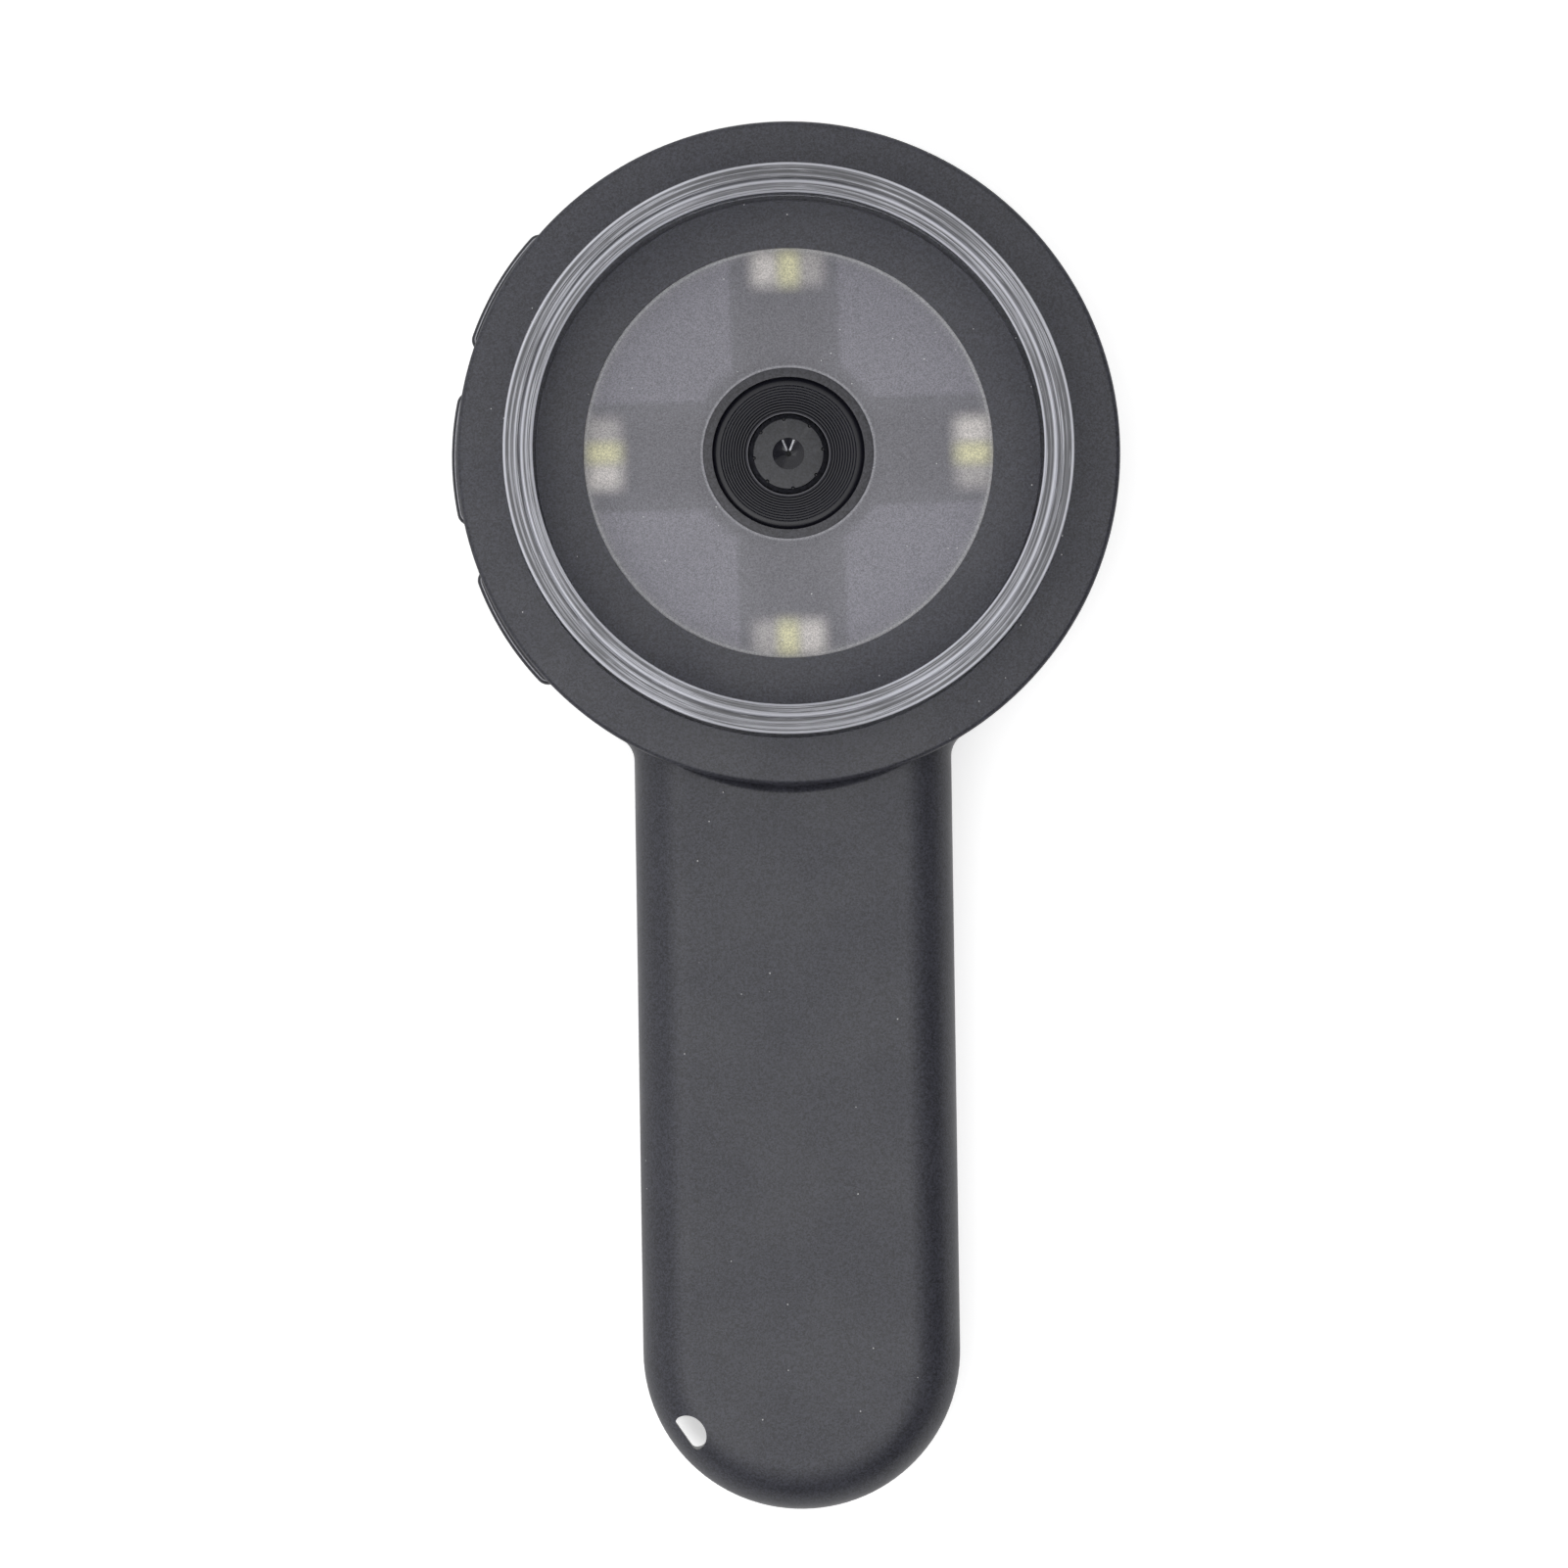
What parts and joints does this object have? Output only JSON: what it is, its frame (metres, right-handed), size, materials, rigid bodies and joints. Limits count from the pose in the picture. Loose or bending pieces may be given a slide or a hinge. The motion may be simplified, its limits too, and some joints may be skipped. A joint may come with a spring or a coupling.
{
  "type": "digital magnifier",
  "caption": "Handheld digital magnifier: round head with a clear stand-off ring, frosted light disc and small lens, rear screen, side keys and a flat handle.",
  "frame": {"origin": "on the rear face of the screen window, on the lens axis", "axes": "+Z along the lens axis, out of the clear ring; +Y from the handle towards the head; the side keys are on -X"},
  "size_m": [0.071, 0.1472, 0.03],
  "materials": {
    "case_black": "fine moulded grain",
    "clear_acrylic": "clear, polished",
    "frosted_acrylic": "frosted",
    "tray_white": "matt",
    "lamp_board": "solder mask",
    "led_white": "ceramic white",
    "led_phosphor": "phosphor resin",
    "lens_black": "satin black",
    "lens_glass": "coated glass",
    "window_glass": "dark cover glass",
    "circuit_board": "solder mask",
    "chip_black": "matt resin",
    "steel": "plated",
    "foam": "foam",
    "socket_white": "nylon",
    "cell_foil": "foil",
    "lead_red": "insulation",
    "lead_black": "insulation",
    "flex_film": "film"
  },
  "bodies": {
    "case": {"front_shell": "case_black", "rear_shell": "case_black", "clear_ring": "clear_acrylic", "diffuser": "frosted_acrylic", "light_tray": "tray_white", "led_board": "lamp_board", "lens_funnel": "lens_black", "lens_barrel": "lens_black", "lens_holder": "lens_black", "lens_spacer": "lens_black", "front_lens": "lens_glass", "rear_lens": "lens_glass", "ir_filter": "lens_glass", "image_sensor": "chip_black", "main_board": "circuit_board", "processor": "chip_black", "memory_chip": "chip_black", "crystal": "steel", "display_window": "window_glass", "lcd_gasket": "foam", "lcd_panel": "chip_black", "lcd_frame": "lens_black", "lcd_flex": "flex_film", "flex_connector": "socket_white", "usb_socket": "steel", "card_socket": "steel", "battery_cell": "cell_foil", "battery_pad": "foam", "battery_header": "socket_white", "battery_plug": "socket_white", "battery_lead_red": "lead_red", "battery_lead_black": "lead_black", "led_lead_red": "lead_red", "led_lead_black": "lead_black", "led_top": "led_white", "phosphor_top": "led_phosphor", "led_left": "led_white", "phosphor_left": "led_phosphor", "led_bottom": "led_white", "phosphor_bottom": "led_phosphor", "led_right": "led_white", "phosphor_right": "led_phosphor", "switch_upper": "steel", "switch_middle": "steel", "switch_lower": "steel", "board_screw_1": "steel", "board_screw_2": "steel", "board_screw_3": "steel", "board_screw_4": "steel", "housing_screw_left": "steel", "housing_screw_right": "steel", "housing_screw_end": "steel"},
    "upper_key": {"key_upper": "case_black", "plunger_upper": "socket_white"},
    "middle_key": {"key_middle": "case_black", "plunger_middle": "socket_white"},
    "lower_key": {"key_lower": "case_black", "plunger_lower": "socket_white"}
  },
  "joints": [
    {"name": "upper_key_press", "type": "slide", "parent": "case", "child": "upper_key", "axis": [0.8526, -0.5225, 0], "range_m": [0, 0.0003], "stiffness_N_per_m": 3000},
    {"name": "middle_key_press", "type": "slide", "parent": "case", "child": "middle_key", "axis": [1, 0, 0], "range_m": [0, 0.0003], "stiffness_N_per_m": 3000},
    {"name": "lower_key_press", "type": "slide", "parent": "case", "child": "lower_key", "axis": [0.8526, 0.5225, 0], "range_m": [0, 0.0003], "stiffness_N_per_m": 3000}
  ]
}
